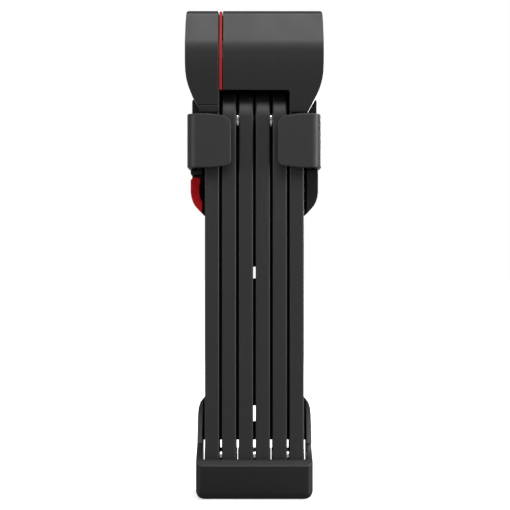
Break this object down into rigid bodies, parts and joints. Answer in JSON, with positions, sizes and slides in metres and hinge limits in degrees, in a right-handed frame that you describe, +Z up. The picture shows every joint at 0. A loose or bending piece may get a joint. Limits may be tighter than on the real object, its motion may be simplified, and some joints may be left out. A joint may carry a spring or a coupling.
{
  "type": "folding bike lock",
  "caption": "Folding link lock with barrel head and key cylinder, standing in a frame bracket with cup, clasps and release lever.",
  "frame": {"origin": "centre of the bracket's upper bolt hole, on the back face that meets the bicycle frame", "axes": "+Z up along the links, +Y into the bicycle frame, +X to the right of someone facing the lock"},
  "size_m": [0.0604, 0.0375, 0.2131],
  "materials": {
    "head_plastic": "fine satin grain",
    "link_coat": "matt, slightly rubbery coat",
    "clasp_plastic": "fine satin grain",
    "bracket_plastic": "satin moulded",
    "red_plastic": "semi-gloss",
    "red_seal": "semi-gloss",
    "bright_steel": "bright zinc",
    "hardened_steel": "plain hardened",
    "brass": "machined"
  },
  "bodies": {
    "bracket": {"bracket_base": "bracket_plastic", "clasp_housing": "bracket_plastic", "housing_screws": "bright_steel", "clasp_pins": "bright_steel", "clasp_springs": "bright_steel", "lever_pin": "bright_steel", "lever_spring": "bright_steel"},
    "latch": {"latch_plate": "bright_steel"},
    "left_jaw": {"left_clasp": "clasp_plastic"},
    "right_jaw": {"right_clasp": "clasp_plastic"},
    "lever": {"release_lever": "red_plastic"},
    "lock": {"link_1_core": "hardened_steel", "link_1_coat": "link_coat", "link_2_core": "hardened_steel", "link_2_coat": "link_coat", "link_5_core": "hardened_steel", "link_5_coat": "link_coat", "link_6_core": "hardened_steel", "link_6_coat": "link_coat", "rivet_1_2": "bright_steel", "rivet_2_3": "bright_steel", "rivet_4_5": "bright_steel", "rivet_5_6": "bright_steel", "spacer_1_2": "bright_steel", "spacer_2_3": "bright_steel", "spacer_4_5": "bright_steel", "spacer_5_6": "bright_steel", "body_shell": "head_plastic", "lock_case": "hardened_steel", "body_rivet": "bright_steel", "cylinder_housing": "brass", "key_side_plate": "head_plastic", "plate_screws": "bright_steel", "cover_pin": "bright_steel", "seal_ring": "red_seal", "cap_shell": "head_plastic", "cap_keeper": "hardened_steel", "cap_rivet": "bright_steel", "link_collar": "head_plastic"},
    "link_3": {"link_3_core": "hardened_steel", "link_3_coat": "link_coat"},
    "link_4": {"link_4_core": "hardened_steel", "link_4_coat": "link_coat", "rivet_3_4": "bright_steel", "spacer_3_4": "bright_steel"},
    "key_core": {"key_plug": "brass", "lock_discs": "brass", "side_bar": "brass", "turn_bolt": "bright_steel"},
    "key_cover": {"keyhole_cover": "head_plastic"}
  },
  "joints": [
    {"name": "lift_out", "type": "slide", "parent": "bracket", "child": "lock", "axis": [0, 0, 1], "range_m": [0, 0.32]},
    {"name": "fold_2_3", "type": "hinge", "parent": "lock", "child": "link_3", "pos_m": [-0.0075, -0.02, 0.0682], "axis": [-1, 0, 0], "range_deg": [0, 61]},
    {"name": "fold_4_5", "type": "hinge", "parent": "lock", "child": "link_4", "pos_m": [0.0075, -0.02, 0.0682], "axis": [-1, 0, 0], "range_deg": [0, 61]},
    {"name": "lever_pull", "type": "hinge", "parent": "bracket", "child": "lever", "pos_m": [-0.0256, -0.015, 0.0405], "axis": [0, 1, 0], "range_deg": [0, 25.3]},
    {"name": "left_clasp_open", "type": "hinge", "parent": "bracket", "child": "left_jaw", "pos_m": [-0.0259, -0.01, 0.057], "axis": [0, 0, -1], "range_deg": [0, 46]},
    {"name": "right_clasp_open", "type": "hinge", "parent": "bracket", "child": "right_jaw", "pos_m": [0.0259, -0.01, 0.057], "axis": [0, 0, 1], "range_deg": [0, 46]},
    {"name": "latch_slide", "type": "slide", "parent": "bracket", "child": "latch", "axis": [0, 0, -1], "range_m": [0, 0.0022], "stiffness_N_per_m": 1500},
    {"name": "key_turn", "type": "hinge", "parent": "lock", "child": "key_core", "pos_m": [0.01, -0.02, 0.0989], "axis": [1, 0, 0], "range_deg": [0, 90]},
    {"name": "cover_swing", "type": "hinge", "parent": "lock", "child": "key_cover", "pos_m": [0.0293, -0.02, 0.1069], "axis": [1, 0, 0], "range_deg": [0, 64]}
  ],
  "couplings": [
    {"joint": "fold_2_3", "follows": "lift_out", "rad_per_m": 3.3},
    {"joint": "fold_4_5", "follows": "lift_out", "rad_per_m": 3.3},
    {"joint": "lever_pull", "follows": "latch_slide", "rad_per_m": 200},
    {"joint": "left_clasp_open", "follows": "latch_slide", "rad_per_m": 360},
    {"joint": "right_clasp_open", "follows": "latch_slide", "rad_per_m": 360}
  ]
}
